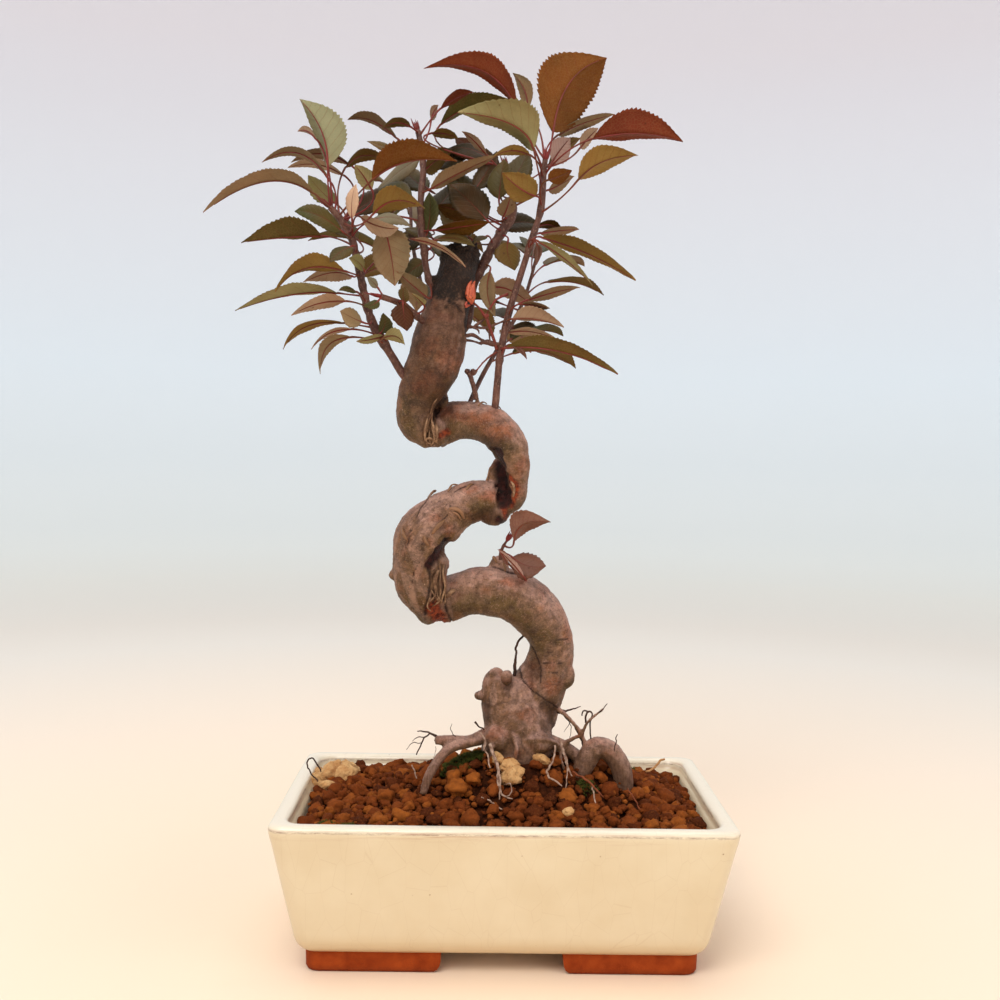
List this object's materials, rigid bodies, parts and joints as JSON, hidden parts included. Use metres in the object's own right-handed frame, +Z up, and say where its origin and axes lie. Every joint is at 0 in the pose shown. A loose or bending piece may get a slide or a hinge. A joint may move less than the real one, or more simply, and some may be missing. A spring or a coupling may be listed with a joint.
{
  "type": "apple bonsai in pot",
  "caption": "dwarfed apple tree with a folded, twisted trunk, bare surface roots and tufts of toothed leaves, growing in granular soil in a low glazed rectangular pot on corner feet",
  "frame": {"origin": "on the table, under the middle of the whole plant's bounding box; the middle of the pot's footprint lies 19.8 mm to the right of it and 15.7 mm in front of it", "axes": "+Z up, +X to the viewer's right along the pot's long side, the viewer stands at -Y"},
  "size_m": [0.2584, 0.1664, 0.4463],
  "materials": {
    "glaze": "glossy cream glaze",
    "screen": "matte black",
    "soil": "rough, granular",
    "bark": "satin bark",
    "leaf_olive": "satin",
    "leaf_brown": "satin",
    "leaf_green": "satin"
  },
  "bodies": {
    "root": {"pot": "glaze", "drain_mesh_left": "screen", "drain_mesh_right": "screen", "soil": "soil", "trunk": "bark", "shoot_left": "leaf_olive", "shoot_left_low": "leaf_brown", "shoot_mid": "leaf_brown", "shoot_crown": "leaf_green", "shoot_right": "leaf_olive", "shoot_back_left": "leaf_green", "shoot_back_right": "leaf_green", "sucker": "leaf_brown"}
  },
  "joints": []
}
